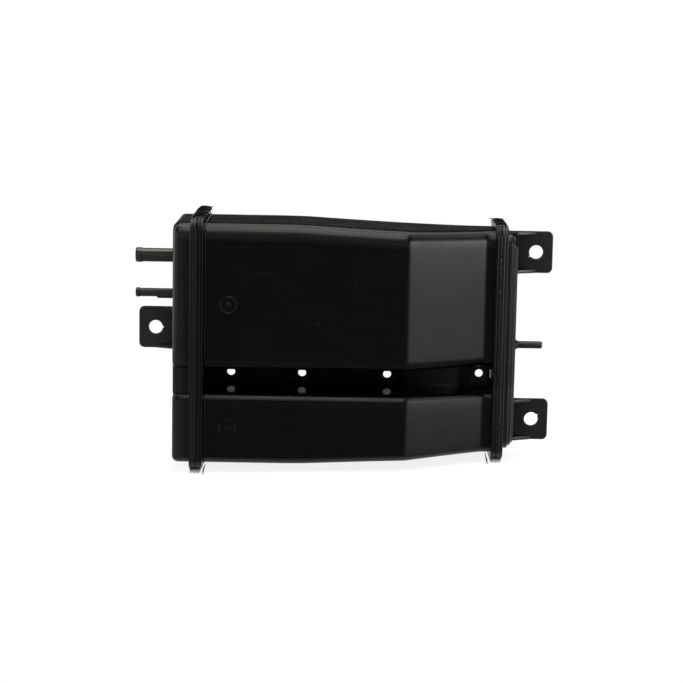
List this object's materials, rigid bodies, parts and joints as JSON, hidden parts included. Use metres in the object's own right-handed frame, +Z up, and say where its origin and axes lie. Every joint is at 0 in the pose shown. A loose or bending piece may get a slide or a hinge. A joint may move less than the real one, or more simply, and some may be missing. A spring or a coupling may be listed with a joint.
{
  "type": "charcoal canister",
  "caption": "Fuel-vapour charcoal canister: a black moulded housing with two joined chambers, welded end covers, hose nipples and fixing tabs, filled with carbon beds on sprung plates.",
  "frame": {"origin": "middle of the overall length and depth, at the lowest foot of the port flange", "axes": "+X from the port cover to the end cover, +Y from front to back, +Z up"},
  "size_m": [0.3118, 0.09, 0.186],
  "materials": {
    "housing_plastic": "satin",
    "cover_plastic": "satin",
    "grid_plastic": "matte",
    "fleece": "matte",
    "carbon": "matte",
    "spring_steel": "satin"
  },
  "bodies": {
    "root": {"housing": "housing_plastic", "port_cover": "cover_plastic", "end_cover": "cover_plastic", "main_inlet_grid": "grid_plastic", "side_inlet_grid": "grid_plastic", "main_inlet_filter": "fleece", "side_inlet_filter": "fleece", "main_carbon_bed": "carbon", "side_carbon_bed": "carbon", "main_outlet_filter": "fleece", "side_outlet_filter": "fleece", "main_pressure_plate": "grid_plastic", "side_pressure_plate": "grid_plastic", "main_spring_upper": "spring_steel", "main_spring_lower": "spring_steel", "side_spring": "spring_steel"}
  },
  "joints": []
}
